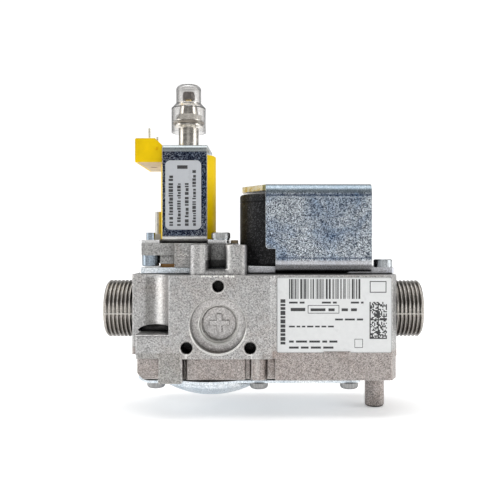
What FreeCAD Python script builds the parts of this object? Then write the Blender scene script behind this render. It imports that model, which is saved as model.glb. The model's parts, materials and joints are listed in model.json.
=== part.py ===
"""Modulating servo gas valve for a boiler, one solid or group of solids per file in parts/.

Row frame, millimetres: the gas axis runs along X through the origin, the outlet port's face is at X = 0
and the inlet port's face at X = PORT_SPAN. +Z is up, and -Y is the front that carries the rating label.
"""

import FreeCAD, Part
import math
import os

V = FreeCAD.Vector

# ---- driving dimensions -------------------------------------------------------------------------
PORT_SPAN = 145.0  # face to face of the two gas ports
OUTLET_THREAD_R = 13.22  # G 3/4 male thread, crest radius
INLET_THREAD_R = 13.05  # the same thread, cut to the small end of its tolerance
THREAD_PITCH = 1.814
THREAD_DEPTH = 1.162
THREAD_LEN = 13.4
THREAD_FLAT = 12.6  # the die leaves a flat on the front and back of each thread
PORT_BORE_R = 9.5
GAS_WAY_R = 9.0  # inward of the ports' stepped mouths
OUTLET_STEP, INLET_STEP = 24.0, 124.0

BODY_TOP = 16.5
BODY_BOTTOM = -29.0
BODY_BACK = 28.0
BODY_LEFT = THREAD_LEN
BODY_RIGHT = PORT_SPAN - THREAD_LEN
FRONT_FACE = -27.0  # machined blank-outlet block
LABEL_FACE = -24.5  # face that carries the rating label
BAND_FACE = -21.5  # lower band behind the front block
BAND_TOP = -19.4
NECK_HALF = 14.5  # half depth of the walls that carry the threads
BLOCK_X = (31.5, 75.5)
LABEL_SIDE_X = 77.6

BLANK_X, BLANK_Z = 52.8, -5.1  # centre of the blanked front outlet
BLANK_STEPS = ((12.0, 5.6, 0.35), (8.4, 8.6, 0.3), (7.3, 11.5, 0.6))  # radius, depth, chamfer of each step
FRONT_HOLES = ((52.9, 11.8), (39.3, -14.8), (66.7, -14.8))
FRONT_HOLE_R = 2.5
FRONT_HOLE_DEPTH = 11.0
FRONT_HOLE_LEAD = 0.65  # chamfer at the mouth

GASKET = 0.4
PLATE = 2.6  # yoke and mounting plate sheet
PLATE_BOTTOM = BODY_TOP + GASKET
PLATE_TOP = PLATE_BOTTOM + PLATE

MAIN_X, MAIN_Y = 48.5, 0.0  # diaphragm valve axis
FIRST_X, SERVO_X, COIL_Y = 103.0, 78.0, 4.0  # solenoid axes
MOD_X, MOD_Y = 36.7, 5.0  # modulator axis

TAP_X, TAP_Y = 124.4, 0.0  # inlet pressure tap
TAP_R = 4.5
TAP_END = -45.7

SEAT_TOP = -4.0
SEAT_LIP = 0.8
DIAPHRAGM = 0.8
COVER = 1.2
COVER_TOP = BODY_BOTTOM - DIAPHRAGM
COVER_BOTTOM = COVER_TOP - COVER
CAVITY_R = 20.6
DIAPHRAGM_R = 20.1
DISH_TOP = BODY_BOTTOM - 4.2  # upper face of the diaphragm's middle when the valve is closed

TUBE_R, TUBE_BORE = 5.6, 5.0
PLUNGER_R = 4.93
FLANGE_BOTTOM = BODY_TOP - 1.6

REG_BOTTOM = PLATE_TOP
REG_GASKET = 1.6
REG_FLANGE_Z = 25.0
REG_TOP = 30.4

SHEET = 1.5  # modulator bracket sheet
BRACKET_X = (26.4, 46.7)
BRACKET_Y = (-10.0, 20.0)
BRACKET_TOP = 75.4
BRACKET_R = 2.6
LEG_TOP = REG_TOP + SHEET

YOKE_X = (73.4, 121.0)
YOKE_FRONT = -15.0
YOKE_TOP = 57.2
YOKE_R = 5.0
COIL_BOX = ((61.3, 119.5), (-12.0, 20.0), (19.9, 53.0))


# ---- shape helpers ------------------------------------------------------------------------------
def box(x, y, z):
    return Part.makeBox(x[1] - x[0], y[1] - y[0], z[1] - z[0], V(x[0], y[0], z[0]))


def rod_x(y, z, r, x):
    return Part.makeCylinder(r, x[1] - x[0], V(x[0], y, z), V(1, 0, 0))


def rod_y(x, z, r, y):
    return Part.makeCylinder(r, y[1] - y[0], V(x, y[0], z), V(0, 1, 0))


def rod_z(x, y, r, z):
    return Part.makeCylinder(r, z[1] - z[0], V(x, y, z[0]))


def mouth_y(x, z, r, y, lead):
    """A bore along Y whose mouth at y[0] is chamfered by lead."""
    mouth = Part.makeCone(r + lead + 1, r, lead + 1, V(x, y[0] - 1, z), V(0, 1, 0))
    return rod_y(x, z, r, (y[0] - 1, y[1])).fuse(mouth)


def tube_z(x, y, r_out, r_in, z):
    return rod_z(x, y, r_out, z).cut(rod_z(x, y, r_in, z))


def hexagon_z(x, y, across, z):
    corner = across / math.sqrt(3)
    turns = [k * math.pi / 3 for k in range(6)]
    points = [V(x + corner * math.cos(a), y + corner * math.sin(a), z[0]) for a in turns]
    return Part.Face(Part.makePolygon(points + points[:1])).extrude(V(0, 0, z[1] - z[0]))


def fuse(shapes):
    return shapes[0].multiFuse(shapes[1:]).removeSplitter() if len(shapes) > 1 else shapes[0]


def prism_z(points, z):
    corners = [V(px, py, z[0]) for px, py in points]
    return Part.Face(Part.makePolygon(corners + corners[:1])).extrude(V(0, 0, z[1] - z[0]))


def upright(edge):
    a, b = edge.Vertexes[0].Point, edge.Vertexes[-1].Point
    return abs(a.x - b.x) < 1e-6 and abs(a.y - b.y) < 1e-6


def rounded(shape, radius, wanted):
    """Fillets the edges for which wanted(edge) is true."""
    edges = [e for e in shape.Edges if len(e.Vertexes) == 2 and wanted(e)]
    return shape.makeFillet(radius, edges)


def slab(x, y, z, r):
    """A plate with its upright edges rounded."""
    return rounded(box(x, y, z), r, upright)


def lies_in(edge, axis, value):
    return all(abs(getattr(v.Point, axis) - value) < 1e-4 for v in edge.Vertexes)


def turned_z(x, y, profile):
    """Turns a closed outline of (radius, height) points about an upright axis."""
    points = [V(x + r, y, h) for r, h in profile]
    face = Part.Face(Part.makePolygon(points + points[:1]))
    return face.revolve(V(x, y, 0), V(0, 0, 1), 360)


def ring_z(x, y, r, section, z):
    return Part.makeTorus(r, section, V(x, y, z))


EIGHTHS = [k * math.pi / 4 for k in range(8)]


def coil_spring(x, y, r, wire, z, turns):
    """A helical spring whose ends lie inside z[0] to z[1]."""
    height = z[1] - z[0] - 2 * wire
    helix = Part.makeHelix(height / turns, height, r)
    helix.translate(V(x, y, z[0] + wire))
    corners = [V(x + r + wire * math.cos(a), y, z[0] + wire + wire * math.sin(a)) for a in EIGHTHS]
    return Part.Wire(helix).makePipeShell([Part.makePolygon(corners + corners[:1])], True, True)


def screw_down(x, y, head_r, head_h, shank_r, shank, seat):
    """A pan-head screw whose head stands on the plane Z = seat; it has a straight slot."""
    head = rod_z(x, y, head_r, (seat, seat + head_h))
    head = rounded_rim(head, seat + head_h, min(0.8, head_h / 3))
    slot = box((x - head_r, x + head_r), (y - 0.6, y + 0.6), (seat + head_h * 0.5, seat + head_h + 1))
    return fuse([head.cut(slot), rod_z(x, y, shank_r, (seat - shank, seat))])


def rounded_rim(shape, height, radius):
    rims = [e for e in shape.Edges if lies_in(e, "z", height)]
    return shape.makeFillet(radius, rims)


# ---- valve body ---------------------------------------------------------------------------------
def thread_outline(crest_r):
    """(distance from the port face, radius) along the crests and roots, down to the runout groove."""
    flank = THREAD_DEPTH * math.tan(math.radians(27.5))
    crest = (THREAD_PITCH - 2 * flank) * 0.6
    root = THREAD_PITCH - 2 * flank - crest
    root_r = crest_r - THREAD_DEPTH
    outline = [(0.0, crest_r - 0.9), (0.9, crest_r)]
    at = 0.9 + crest
    while at + THREAD_PITCH < THREAD_LEN:
        valley = at + flank + root
        outline += [(at, crest_r), (at + flank, root_r), (valley, root_r), (valley + flank, crest_r)]
        at += THREAD_PITCH
    end = THREAD_LEN + 1.0
    return outline + [(at, crest_r), (at + flank, root_r), (end, root_r), (end, 0.0), (0.0, 0.0)]


def port_thread(face_x, inward, crest_r):
    points = [V(face_x + inward * along, 0, r) for along, r in thread_outline(crest_r)]
    neck = Part.Face(Part.makePolygon(points + points[:1])).revolve(V(0, 0, 0), V(1, 0, 0), 360)
    end = face_x + inward * (THREAD_LEN + 2)
    keep = box(sorted((face_x - inward, end)), (-THREAD_FLAT, THREAD_FLAT), (-20, 20))
    ridge_x = sorted((face_x + inward * 0.8, face_x + inward * THREAD_LEN))
    ridge_y = ((-THREAD_FLAT - 0.25, -11.5), (11.5, THREAD_FLAT + 0.25))
    ridges = [box(ridge_x, y, (-1.7, -1.1)) for y in ridge_y]
    return neck.common(keep).multiFuse(ridges)


def upper_body():
    """The casting above the lower band, with the concave scoop beside the outlet."""
    scoop_x = 19.0
    scoop_r = BLOCK_X[0] - scoop_x
    outline = [
        (BODY_LEFT, -NECK_HALF), (scoop_x, -NECK_HALF), (scoop_x, FRONT_FACE), (BLOCK_X[1], FRONT_FACE),
        (LABEL_SIDE_X, LABEL_FACE), (128.1, LABEL_FACE), (131.3, -18.0), (BODY_RIGHT, -NECK_HALF),
        (BODY_RIGHT, NECK_HALF), (127.0, 19.0), (127.0, BODY_BACK), (21.0, BODY_BACK), (21.0, 19.0),
        (BODY_LEFT, NECK_HALF),
    ]
    mass = prism_z(outline, (BAND_TOP, BODY_TOP))
    scoop = rod_z(scoop_x, FRONT_FACE, scoop_r, (BAND_TOP, BODY_TOP))
    return rounded(mass.cut(scoop), 1.2, lambda e: upright(e) and abs(e.Vertexes[0].Point.x - scoop_x) > 0.1)


def lower_body():
    outline = [
        (17.0, BAND_FACE), (LABEL_SIDE_X, BAND_FACE), (LABEL_SIDE_X, LABEL_FACE), (128.1, LABEL_FACE),
        (131.0, -18.0), (131.0, 18.0), (127.0, BODY_BACK), (21.0, BODY_BACK), (17.0, 19.0),
    ]
    band = prism_z(outline, (BODY_BOTTOM, BAND_TOP))
    band = rounded(band, 1.2, lambda e: upright(e) and e.Vertexes[0].Point.x != LABEL_SIDE_X)
    corner = [V(16, -30, -25.4), V(16, -30, -30), V(20.8, -30, -30)]
    return band.cut(Part.Face(Part.makePolygon(corner + corner[:1])).extrude(V(0, 70, 0)))


def front_features():
    """Foot of the front block, the bosses of the lower band and the panel between them."""
    foot = rounded(box((17.4, BLOCK_X[0] + 8), (FRONT_FACE, -10), (BAND_TOP, -9.0)), 1.0,
                   lambda e: lies_in(e, "y", FRONT_FACE) and not lies_in(e, "x", BLOCK_X[0] + 8))
    boss = rounded(box((27.2, 37.6), (FRONT_FACE, -15), (BODY_BOTTOM, BAND_TOP + 6)), 1.2,
                   lambda e: lies_in(e, "y", FRONT_FACE) and not lies_in(e, "z", BAND_TOP + 6))
    panel = rounded(box((38.8, 64.6), (-23.4, -15), (BODY_BOTTOM, BAND_TOP + 2)), 0.9,
                    lambda e: lies_in(e, "y", -23.4) and upright(e))
    column = rod_z(70.3, -20.6, 4.0, (BODY_BOTTOM, BAND_TOP + 2))
    toe = rounded(box((27.2, 37.6), (FRONT_FACE, -24.6), (BODY_BOTTOM - 1.0, BODY_BOTTOM + 2)), 0.9,
                  lambda e: lies_in(e, "z", BODY_BOTTOM - 1.0) and not lies_in(e, "y", FRONT_FACE)
                  and not lies_in(e, "y", -24.6))
    return [foot, boss, toe, panel, column]


def regulator_posts():
    """Two round-fronted posts and the sill between them, on top of the front block."""
    posts = []
    for x0, x1 in ((40.0, 49.0), (55.5, 65.1)):
        post = box((x0, x1), (-24.5, -16.6), (BODY_TOP - 2, 29.8))
        post = rounded(post, 4.2, lambda e: upright(e) and e.Vertexes[0].Point.y < -20)
        posts.append(rounded_rim(post, 29.8, 0.7))
    sill = rounded(box((44, 60), (-24.0, -16.6), (BODY_TOP - 2, 19.3)), 1.5,
                   lambda e: lies_in(e, "y", -24.0) and lies_in(e, "z", 19.3))
    return posts + [sill]


def blank_outlet_cut():
    cuts = []
    face = FRONT_FACE
    for r, depth, lead in BLANK_STEPS:
        cuts.append(mouth_y(BLANK_X, BLANK_Z, r, (face, FRONT_FACE + depth), lead).common(
            rod_y(BLANK_X, BLANK_Z, r + lead, (face - 1, FRONT_FACE + depth))))
        face = FRONT_FACE + depth
    for x, z in FRONT_HOLES:
        cuts.append(mouth_y(x, z, FRONT_HOLE_R, (FRONT_FACE, FRONT_FACE + FRONT_HOLE_DEPTH), FRONT_HOLE_LEAD))
    return cuts


def blank_mark():
    floor = FRONT_FACE + BLANK_STEPS[-1][1]
    arms = [box((BLANK_X - 4.4, BLANK_X + 4.4), (floor - 0.7, floor + 1), (BLANK_Z - 1.1, BLANK_Z + 1.1)),
            box((BLANK_X - 1.1, BLANK_X + 1.1), (floor - 0.7, floor + 1), (BLANK_Z - 4.0, BLANK_Z + 4.0))]
    return arms


def gas_ways():
    """Ports, chambers, seats and the diaphragm cavity."""
    return [
        rod_x(0, 0, PORT_BORE_R, (-1, OUTLET_STEP)),
        rod_x(0, 0, GAS_WAY_R, (OUTLET_STEP, 38)),
        rod_x(0, 0, GAS_WAY_R, (110, INLET_STEP)),
        rod_x(0, 0, PORT_BORE_R, (INLET_STEP, PORT_SPAN + 1)),
        rod_z(MAIN_X, MAIN_Y, 13.0, (SEAT_TOP, 11.0)),
        rod_z(MAIN_X, MAIN_Y, 11.5, (-8.0, SEAT_TOP)),
        rod_z(MAIN_X, MAIN_Y, 12.5, (-17.0, -8.0)),
        rod_z(MAIN_X, MAIN_Y, 11.8, (-20.5, -17.0)),
        rod_z(MAIN_X, MAIN_Y, CAVITY_R, (BODY_BOTTOM, -20.5)),
        box((MAIN_X, FIRST_X + 8), (-8, 12), (-17.0, -8.0)),
        rod_z(FIRST_X, COIL_Y, 6.5, (-8.0, SEAT_TOP)),
        rod_z(FIRST_X, COIL_Y, 12.0, (SEAT_TOP, BODY_TOP)),
        rod_z(FIRST_X, COIL_Y, 13.5, (FLANGE_BOTTOM, BODY_TOP)),
        rod_z(SERVO_X, COIL_Y, 7.5, (9.0, BODY_TOP)),
        rod_z(SERVO_X, COIL_Y, 10.5, (FLANGE_BOTTOM, BODY_TOP)),
        rod_z(MOD_X, MOD_Y, 7.5, (13.4, BODY_TOP)),
    ]


def seats():
    return [
        tube_z(FIRST_X, COIL_Y, 7.5, 6.5, (SEAT_TOP - 1, SEAT_TOP + SEAT_LIP)),
        tube_z(SERVO_X, COIL_Y, 2.2, 0.8, (8.0, 10.2)),
    ]


def body_screw_holes():
    holes = [rod_z(x, y, 1.7, (BODY_BOTTOM - 1, BODY_BOTTOM + 7)) for x, y in COVER_SCREWS]
    holes += [rod_z(x, y, 1.9, (BODY_TOP - 9, BODY_TOP + 1)) for x, y in YOKE_SCREWS]
    holes += [rod_z(x, y, 1.6, (BODY_TOP - 7, BODY_TOP + 1)) for x, y in MOUNT_SCREWS]
    return holes


def rear_pockets():
    """Weight-saving pockets in the back wall, with ribs left between them."""
    pockets = []
    for x0, x1 in ((34.0, 50.0), (54.0, 70.0), (92.0, 118.0)):
        pocket = box((x0, x1), (BODY_BACK - 4.5, BODY_BACK + 1), (-12.0, 11.0))
        across = lambda e: abs(e.Vertexes[0].Point.y - e.Vertexes[-1].Point.y) > 1
        pockets.append(rounded(pocket, 2.5, across))
    return pockets


def scoop_slot():
    """Pointed slot at the foot of the scoop."""
    end = BLOCK_X[0]
    points = [(16.2, -8.3), (17.6, -7.1), (20.5, -6.1), (25.0, -5.6), (end, -5.5), (end, -9.0), (16.8, -9.0)]
    corners = [V(x, FRONT_FACE - 1, z) for x, z in points]
    return Part.Face(Part.makePolygon(corners + corners[:1])).extrude(V(0, -9 - FRONT_FACE + 1, 0))


def valve_body():
    tap = rounded_rim(rod_z(TAP_X, TAP_Y, TAP_R, (TAP_END, BODY_BOTTOM + 3)), TAP_END, 1.3)
    mass = fuse([upper_body(), lower_body(), *front_features(), *regulator_posts(), tap,
                 port_thread(0.0, 1, OUTLET_THREAD_R), port_thread(PORT_SPAN, -1, INLET_THREAD_R)])
    tap_bores = [rod_z(TAP_X, TAP_Y, 2.6, (TAP_END - 1, TAP_END + 9)),
                 rod_z(TAP_X, TAP_Y, 1.4, (TAP_END, -5))]
    mass = mass.cut([scoop_slot(), *blank_outlet_cut(), *rear_pockets(), *gas_ways(), *tap_bores,
                     *body_screw_holes()])
    bump = rounded(box((98.4, 110.1), (LABEL_FACE - 0.9, LABEL_FACE + 1), (-19.4, -16.4)), 0.8,
                   lambda e: lies_in(e, "y", LABEL_FACE - 0.9))
    return fuse([mass, bump, *blank_mark(), *seats()])


# ---- bottom cover and diaphragm valve -----------------------------------------------------------
COVER_SCREWS = ((70.4, -17.5), (110.3, -17.5), (110.3, 20.0), (72.0, 20.6), (24.6, -15.6), (24.6, 20.0))
YOKE_SCREWS = ((127.0, -8.0), (122.0, 24.0), (84.0, 24.6))
MOUNT_SCREWS = ((27.0, 23.4), (61.0, 23.4))
COVER_LEFT = 19.2
DOME_R, DOME_RIM, DOME_BOTTOM = 22.0, -33.4, -39.5


def arc_turned(x, y, outline):
    """Turns an outline of (start, end) lines and (start, middle, end) arcs in (radius, height)."""
    edges = []
    for item in outline:
        points = [V(x + r, y, h) for r, h in item]
        edges.append((Part.LineSegment(*points) if len(points) == 2 else Part.Arc(*points)).toShape())
    return Part.Face(Part.Wire(edges)).revolve(V(x, y, 0), V(0, 0, 1), 360)


def cover_outline(inset, z):
    plate = slab((COVER_LEFT + inset, 115.3 - inset), (-20.5 + inset, 25.0 - inset), z, 4.0)
    return fuse([plate, rod_z(MAIN_X, MAIN_Y, 24.2 - inset, z)])


def domed_plug(r, bottom, edge):
    """Cylinder that hangs from the cover and ends in a shallow cap with a rounded edge."""
    depth = DOME_RIM - bottom
    ball = (r ** 2 + depth ** 2) / (2 * depth)
    cap = Part.makeSphere(ball, V(MAIN_X, MAIN_Y, bottom + ball), V(1, 0, 0))
    plug = rod_z(MAIN_X, MAIN_Y, r, (bottom - 1, COVER_TOP)).common(cap)
    rim = [e for e in plug.Edges if len(e.Vertexes) == 1 and lies_in(e, "z", DOME_RIM)]
    return plug.makeFillet(edge, rim)


def bottom_cover():
    plate = cover_outline(0.0, (COVER_BOTTOM, COVER_TOP))
    dome = domed_plug(DOME_R, DOME_BOTTOM, 1.8).cut(domed_plug(DOME_R - COVER, DOME_BOTTOM + COVER, 0.6))
    lip_r = 2.4
    lip = tube_y_quarter(COVER_LEFT, COVER_BOTTOM + lip_r, lip_r, (-16.5, 21.0))
    plate = plate.cut(rod_z(MAIN_X, MAIN_Y, DOME_R - 0.5, (COVER_BOTTOM - 1, COVER_TOP + 1)))
    holes = [rod_z(x, y, 2.2, (COVER_BOTTOM - 1, COVER_TOP + 1)) for x, y in COVER_SCREWS]
    return fuse([plate, dome, lip]).cut(holes)


def tube_y_quarter(x, z, r, y):
    """Quarter bend that turns the cover's end up: the quarter of a tube on the low X, low Z side."""
    bend = rod_y(x, z, r, y).cut(rod_y(x, z, r - COVER, y))
    return bend.common(box((x - r - 1, x), y, (z - r - 1, z)))


def cover_gasket():
    low, top = COVER_TOP, BODY_BOTTOM
    sheet = cover_outline(0.6, (low, top)).cut(rod_z(MAIN_X, MAIN_Y, DIAPHRAGM_R, (low - 1, top + 1)))
    return sheet.cut([rod_z(x, y, 2.2, (low - 1, top + 1)) for x, y in COVER_SCREWS])


def main_diaphragm():
    """Moulded dish: the rim is clamped level with the gasket, the middle hangs below and rises to open."""
    high, low, t = BODY_BOTTOM, DISH_TOP, DIAPHRAGM
    return turned_z(MAIN_X, MAIN_Y, [
        (2.0, low - t), (15.4, low - t), (17.4, low - t + 1.4), (18.6, high - t), (DIAPHRAGM_R, high - t),
        (DIAPHRAGM_R, high), (17.9, high), (16.6, low + 1.2), (15.0, low), (2.0, low)])


def cover_screws():
    """Pan-head screws put in from below; their recess is a plain slot."""
    screws = []
    for x, y in COVER_SCREWS:
        head = rod_z(x, y, 4.1, (COVER_BOTTOM - 2.8, COVER_BOTTOM))
        head = rounded_rim(head, COVER_BOTTOM - 2.8, 1.6)
        slot = box((x - 5, x + 5), (y - 0.6, y + 0.6), (COVER_BOTTOM - 4, COVER_BOTTOM - 1.6))
        screws.append(fuse([head.cut(slot), rod_z(x, y, 1.7, (COVER_BOTTOM, BODY_BOTTOM + 6.5))]))
    return Part.makeCompound(screws)


def main_seat_ring():
    ring = tube_z(MAIN_X, MAIN_Y, 11.5, 8.0, (-8.0, SEAT_TOP))
    return fuse([ring, tube_z(MAIN_X, MAIN_Y, 9.0, 8.0, (SEAT_TOP, SEAT_TOP + SEAT_LIP))])


def main_stem_guide():
    guide = rod_z(MAIN_X, MAIN_Y, 11.8, (-20.5, -17.0)).cut(rod_z(MAIN_X, MAIN_Y, 2.08, (-21, -16)))
    vents = [rod_z(MAIN_X + 7 * math.cos(a), MAIN_Y + 7 * math.sin(a), 1.0, (-21, -16))
             for a in (k * math.pi / 2 for k in range(4))]
    return guide.cut(vents)


def main_valve_stem():
    under = DISH_TOP - DIAPHRAGM
    stem = rod_z(MAIN_X, MAIN_Y, 2.0, (under - 0.8, 1.6))
    return fuse([stem, rod_z(MAIN_X, MAIN_Y, 4.5, (under - 0.8, under))])


def main_valve_disc():
    return tube_z(MAIN_X, MAIN_Y, 10.2, 2.0, (SEAT_TOP + SEAT_LIP, SEAT_TOP + SEAT_LIP + 2.0))


def main_disc_backing():
    low = SEAT_TOP + SEAT_LIP + 2.0
    plate = tube_z(MAIN_X, MAIN_Y, 9.6, 2.0, (low, low + 1.2))
    return fuse([plate, tube_z(MAIN_X, MAIN_Y, 3.4, 2.0, (low, low + 2.8))])


def main_diaphragm_plate():
    low = DISH_TOP
    plate = turned_z(MAIN_X, MAIN_Y, [(2.0, low), (13.8, low), (14.6, low + 0.8), (14.6, low + 1.6),
                                      (13.6, low + 1.2), (2.0, low + 1.2)])
    return fuse([plate, tube_z(MAIN_X, MAIN_Y, 3.6, 2.0, (low, low + 3.2))])


def main_valve_spring():
    return coil_spring(MAIN_X, MAIN_Y, 5.0, 0.45, (SEAT_TOP + SEAT_LIP + 3.2, 11.0), 5)


# ---- solenoid valves ----------------------------------------------------------------------------
def guide_tube(x, flange_r):
    tube = tube_z(x, COIL_Y, TUBE_R, TUBE_BORE, (FLANGE_BOTTOM, 50.0))
    flange = tube_z(x, COIL_Y, flange_r, TUBE_BORE, (FLANGE_BOTTOM, BODY_TOP))
    return fuse([tube, flange, rod_z(x, COIL_Y, TUBE_R, (50.0, 51.0))])


def fixed_cores():
    cores = [rod_z(x, COIL_Y, TUBE_BORE, (39.0, 50.0)) for x in (FIRST_X, SERVO_X)]
    return Part.makeCompound([rounded_rim(core, 39.0, 0.5) for core in cores])


def first_valve_plunger():
    return rounded_rim(rod_z(FIRST_X, COIL_Y, PLUNGER_R, (13.0, 36.0)), 36.0, 0.5)


def first_valve_holder():
    low = SEAT_TOP + SEAT_LIP + 2.0
    return fuse([rod_z(FIRST_X, COIL_Y, 8.6, (low, low + 1.4)), rod_z(FIRST_X, COIL_Y, 2.0, (low, 13.0))])


def first_valve_disc():
    return rod_z(FIRST_X, COIL_Y, 8.4, (SEAT_TOP + SEAT_LIP, SEAT_TOP + SEAT_LIP + 2.0))


def first_valve_spring():
    return coil_spring(FIRST_X, COIL_Y, 7.2, 0.5, (SEAT_TOP + SEAT_LIP + 3.4, FLANGE_BOTTOM), 6)


def servo_plunger():
    plunger = rounded_rim(rod_z(SERVO_X, COIL_Y, PLUNGER_R, (11.6, 37.0)), 37.0, 0.5)
    return plunger.cut(rod_z(SERVO_X, COIL_Y, 3.0, (29.0, 38.0)))


def servo_pad():
    return rod_z(SERVO_X, COIL_Y, 3.2, (10.2, 11.6))


def servo_spring():
    return coil_spring(SERVO_X, COIL_Y, 2.3, 0.3, (29.0, 39.0), 7)


def solenoid_windings():
    return Part.makeCompound([tube_z(x, COIL_Y, 12.0, 7.2, (23.0, 47.0)) for x in (FIRST_X, SERVO_X)])


def coil_housing():
    """Black overmoulded twin coil; each bobbin bore runs right through."""
    x, y, z = COIL_BOX
    shell = slab(x, y, z, 14.0)
    shell = rounded_rim(shell, z[1], 1.2)
    shell = rounded_rim(shell, z[0], 1.5)
    lid_seam = slab((x[0] - 1, x[1] + 1), (y[0] - 1, y[1] + 1), (49.0, 49.4), 14.0)
    lid_seam = lid_seam.cut(slab((x[0] + 0.35, x[1] - 0.35), (y[0] + 0.35, y[1] - 0.35), (48, 50), 13.6))
    boss = rounded(box((80.0, 101.0), (y[1] - 4, y[1] + 4.5), (25.0, 44.0)), 1.5,
                   lambda e: lies_in(e, "y", y[1] + 4.5))
    shell = fuse([shell.cut(lid_seam), boss])
    bores = [rod_z(cx, COIL_Y, TUBE_R + 0.4, (z[0] - 1, 51.4)) for cx in (FIRST_X, SERVO_X)]
    return shell.cut([*bores, *solenoid_windings().Solids, *spade_terminals().Solids])


def spade_terminals():
    """Three flat tabs for the mains plug, on the back of the coil housing."""
    tabs = []
    for x in (84.5, 90.5, 96.5):
        tab = box((x - 0.4, x + 0.4), (COIL_BOX[1][1], COIL_BOX[1][1] + 12.0), (31.5, 37.8))
        tab = tab.makeChamfer(1.2, [e for e in tab.Edges if lies_in(e, "y", COIL_BOX[1][1] + 12.0)
                                    and abs(e.Vertexes[0].Point.x - e.Vertexes[1].Point.x) > 0.5])
        tabs.append(tab.cut(rod_x(COIL_BOX[1][1] + 9.0, 34.65, 0.9, (x - 1, x + 1))))
    return Part.makeCompound(tabs)


def c_section(x, y_front, y_back, z, sheet, r):
    """Sheet bent into a C that is open at the back; r is the outer bend radius."""
    def outline(inset, back):
        rr = r - inset
        y0, z0, z1 = y_front + inset, z[0] + inset, z[1] - inset
        s = rr * (1 - math.sqrt(0.5))
        lines = [Part.LineSegment(V(0, back, z0), V(0, y0 + rr, z0)),
                 Part.Arc(V(0, y0 + rr, z0), V(0, y0 + s, z0 + s), V(0, y0, z0 + rr)),
                 Part.LineSegment(V(0, y0, z0 + rr), V(0, y0, z1 - rr)),
                 Part.Arc(V(0, y0, z1 - rr), V(0, y0 + s, z1 - s), V(0, y0 + rr, z1)),
                 Part.LineSegment(V(0, y0 + rr, z1), V(0, back, z1)),
                 Part.LineSegment(V(0, back, z1), V(0, back, z0))]
        return Part.Face(Part.Wire([line.toShape() for line in lines]))
    section = outline(0.0, y_back).cut(outline(sheet, y_back + 1))
    section.translate(V(x[0], 0, 0))
    return section.extrude(V(x[1] - x[0], 0, 0))


def yoke_frame():
    """Steel return yoke: front panel, top leg cut back beside the coil, bottom leg with fixing ears."""
    front_back = 24.0
    c = c_section((60.0, 123.0), YOKE_FRONT, front_back, (PLATE_BOTTOM, YOKE_TOP), PLATE, YOKE_R)
    left, right = YOKE_X
    step, depth = PLATE_BOTTOM + 11.0, (YOKE_FRONT - 1, YOKE_FRONT + YOKE_R)
    keep_panel = box((left, right), depth, (step, YOKE_TOP + 1))
    keep_panel = rounded(keep_panel, 1.6, lambda e: lies_in(e, "x", left) and lies_in(e, "z", step))
    lower_panel = box((left + 4.4, right), depth, (PLATE_BOTTOM - 1, step + 2))
    top_outline = [(left, YOKE_FRONT), (right, YOKE_FRONT), (right, front_back + 1), (62.3, front_back + 1),
                   (62.3, 6.5), (left, -9.5)]
    top_leg = prism_z(top_outline, (YOKE_TOP - YOKE_R, YOKE_TOP + 1))
    leg_y = (YOKE_FRONT + YOKE_R - 1.5, front_back + 1)
    bottom_leg = box((65.6, right + 1), leg_y, (PLATE_BOTTOM - 1, PLATE_TOP + 2))
    sheet = c.common(fuse([keep_panel, lower_panel, top_leg, bottom_leg]))
    ear = [(72.0, 10.0), (110.0, 10.0), (110.0, -12.6), (131.4, -12.6), (131.4, 14.0), (126.8, 18.8),
           (126.8, 27.5), (72.0, 27.5)]
    ears = rounded(prism_z(ear, (PLATE_BOTTOM, PLATE_TOP)), 1.5, upright)
    holes = [rod_z(x, y, 2.0, (PLATE_BOTTOM - 1, PLATE_TOP + 1)) for x, y in YOKE_SCREWS]
    holes += [rod_z(cx, COIL_Y, TUBE_R + 0.1, (PLATE_BOTTOM - 1, PLATE_TOP + 1)) for cx in (FIRST_X, SERVO_X)]
    return fuse([sheet, ears]).cut(holes)


def yoke_screws():
    return Part.makeCompound([screw_down(x, y, 4.25, 3.6, 1.9, 11.0, PLATE_TOP) for x, y in YOKE_SCREWS])


def top_gasket():
    outline = [(18.0, -13.6), (130.6, -13.6), (130.6, 14.0), (126.4, 18.5), (126.4, 27.0), (22.4, 27.0),
               (22.4, 18.8), (18.0, 14.5)]
    sheet = rounded(prism_z(outline, (BODY_TOP, PLATE_BOTTOM)), 1.5, upright)
    holes = [rod_z(FIRST_X, COIL_Y, 13.5, (BODY_TOP - 1, PLATE_BOTTOM + 1)),
             rod_z(SERVO_X, COIL_Y, 10.5, (BODY_TOP - 1, PLATE_BOTTOM + 1)),
             rod_z(MOD_X, MOD_Y, 8.0, (BODY_TOP - 1, PLATE_BOTTOM + 1))]
    holes += [rod_z(x, y, 2.0, (BODY_TOP - 1, PLATE_BOTTOM + 1)) for x, y in (*YOKE_SCREWS, *MOUNT_SCREWS)]
    return sheet.cut(holes)


def inlet_strainer():
    """Pressed cup with a perforated end, in the inlet bore."""
    mouth = INLET_STEP
    cup = rod_x(0, 0, GAS_WAY_R, (mouth - 6.0, mouth))
    cup = cup.cut(rod_x(0, 0, GAS_WAY_R - 0.6, (mouth - 5.4, mouth + 1)))
    holes = [rod_x(y * 2.6, z * 2.6, 0.9, (mouth - 7, mouth - 4)) for y in range(-3, 4) for z in range(-3, 4)
             if y * y + z * z <= 9]
    return cup.cut(holes)


# ---- servo regulator ----------------------------------------------------------------------------
def mounting_plate():
    outline = [(16.6, -14.0), (64.9, -14.0), (64.9, 27.0), (22.0, 27.0), (22.0, 19.0), (16.6, 14.5)]
    plate = rounded(prism_z(outline, (PLATE_BOTTOM, PLATE_TOP)), 1.5, upright)
    holes = [rod_z(x, y, 1.7, (PLATE_BOTTOM - 1, PLATE_TOP + 1)) for x, y in MOUNT_SCREWS]
    return plate.cut([rod_z(MOD_X, MOD_Y, 7.5, (PLATE_BOTTOM - 1, PLATE_TOP + 1)), *holes])


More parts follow.
